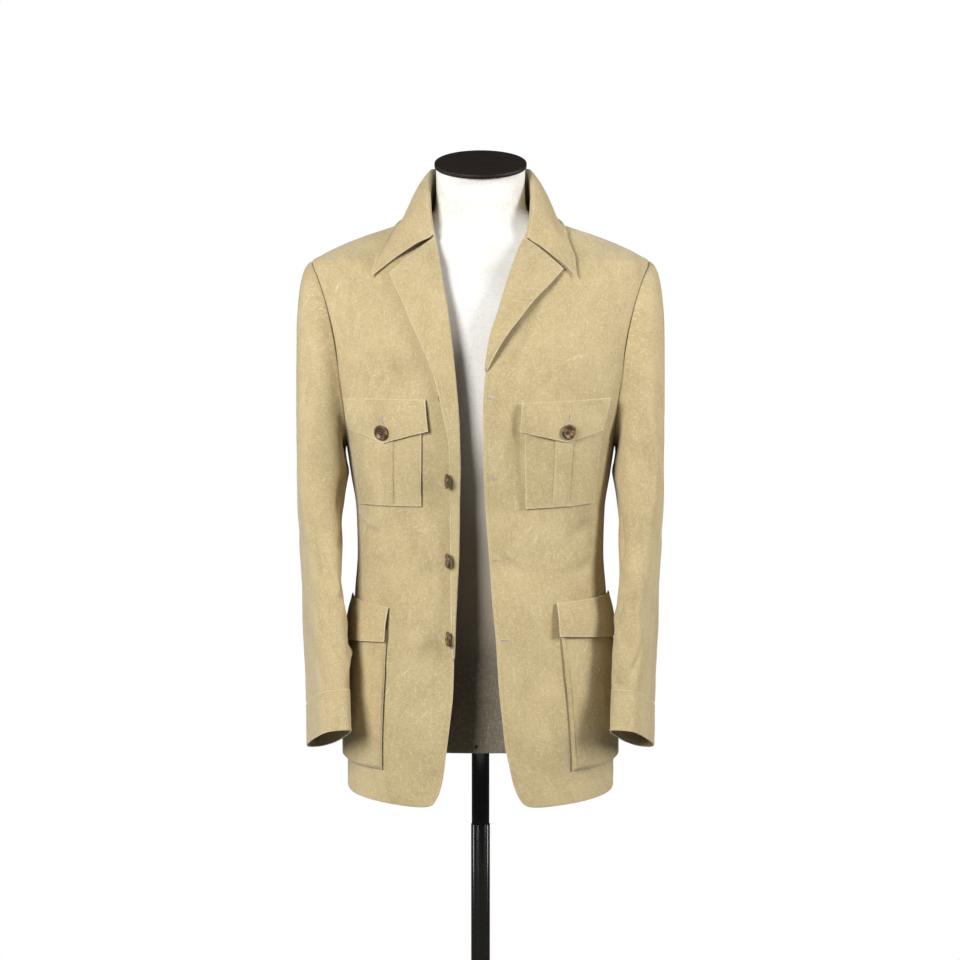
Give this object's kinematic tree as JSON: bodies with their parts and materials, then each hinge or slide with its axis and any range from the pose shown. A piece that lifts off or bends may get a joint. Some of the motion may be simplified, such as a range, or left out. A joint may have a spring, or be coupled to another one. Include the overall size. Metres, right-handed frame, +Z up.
{
  "type": "safari jacket on a dress form",
  "caption": "Open cotton safari jacket with turned-out lapels, pleated breast pockets and bellows hip pockets, worn by a limbless dress form on a pole with a round plate",
  "frame": {"origin": "on the floor at the centre of the stand's base", "axes": "+Z up, the jacket faces -Y, +X is the wearer's left"},
  "size_m": [0.4768, 0.34, 1.5504],
  "materials": {
    "cloth": "washed khaki cotton canvas, matt",
    "button": "mottled brown horn, softly polished",
    "linen": "off-white linen, matt",
    "cap_wood": "very dark brown wood, satin lacquer",
    "stand_metal": "near-black gloss"
  },
  "bodies": {
    "root": {"front_l": "cloth", "front_r": "cloth", "back": "cloth", "sleeve_l": "cloth", "sleeve_r": "cloth", "cuff_l": "cloth", "cuff_r": "cloth", "collar": "cloth", "lapel_l": "cloth", "lapel_r": "cloth", "breast_pocket_l": "cloth", "breast_pocket_r": "cloth", "breast_flap_l": "cloth", "breast_flap_r": "cloth", "hip_pocket_l": "cloth", "hip_pocket_r": "cloth", "hip_flap_l": "cloth", "hip_flap_r": "cloth", "flap_button_l": "button", "flap_button_r": "button", "front_button_1": "button", "front_button_2": "button", "front_button_3": "button", "front_button_4": "button", "form_body": "linen", "neck_cap": "cap_wood", "pole": "stand_metal", "base": "stand_metal"}
  },
  "joints": []
}
